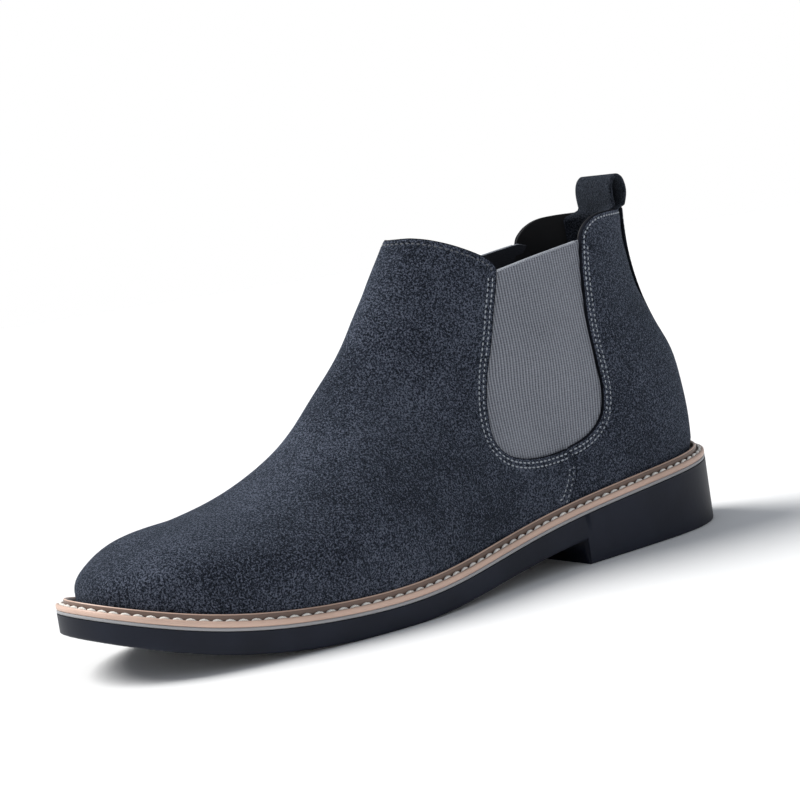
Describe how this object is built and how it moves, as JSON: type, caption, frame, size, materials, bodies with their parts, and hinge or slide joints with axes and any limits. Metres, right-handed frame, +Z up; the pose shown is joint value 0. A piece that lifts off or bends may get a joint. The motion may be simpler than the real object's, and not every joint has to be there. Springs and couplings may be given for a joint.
{
  "type": "chelsea boot",
  "caption": "Left ankle boot with suede upper, elastic side gores, rear pull tab, stitched storm welt and low moulded rubber heel.",
  "frame": {"origin": "on the ground under the middle of the boot's box", "axes": "+X to the outer side of a left boot, +Y from toe to heel, +Z up"},
  "size_m": [0.1041, 0.3001, 0.152],
  "materials": {
    "suede": "napped",
    "elastic": "ribbed",
    "lining": "matte",
    "rubber": "moulded satin",
    "midsole": "matte",
    "welt": "satin",
    "stitch": "twisted thread",
    "board": "pressed fibre",
    "cork": "granular",
    "steel": "brushed",
    "stiffener": "matte",
    "heel_core": "foam"
  },
  "bodies": {
    "root": {"outsole": "rubber", "heel_filler": "heel_core", "midsole": "midsole", "welt": "welt", "welt_stitching": "stitch", "forepart_filler": "cork", "shank": "steel", "insole_board": "board", "footbed": "lining", "vamp": "suede", "vamp_instep": "suede", "quarter_outer": "suede", "quarter_inner": "suede", "back_strip": "suede", "gore_outer": "elastic", "gore_inner": "elastic", "toe_puff": "stiffener", "heel_counter": "stiffener", "lining_vamp": "lining", "lining_instep": "lining", "lining_quarter_outer": "lining", "lining_quarter_inner": "lining", "pull_tab_end": "suede"},
    "front_shaft": {"vamp_shaft": "suede", "lining_shaft": "lining"},
    "tab": {"pull_tab": "suede"}
  },
  "joints": [
    {"name": "gore_stretch", "type": "hinge", "parent": "root", "child": "front_shaft", "pos_m": [-0.002, 0.05, 0.048], "axis": [1, 0, 0], "range_deg": [0, 6], "stiffness_Nm_per_rad": 15, "deforming": ["gore_outer", "gore_inner", "vamp_instep", "lining_instep"]},
    {"name": "tab_fold", "type": "hinge", "parent": "root", "child": "tab", "pos_m": [-0.002, 0.1215, 0.1385], "axis": [1, 0, 0], "range_deg": [-30, 35], "stiffness_Nm_per_rad": 0.05}
  ]
}
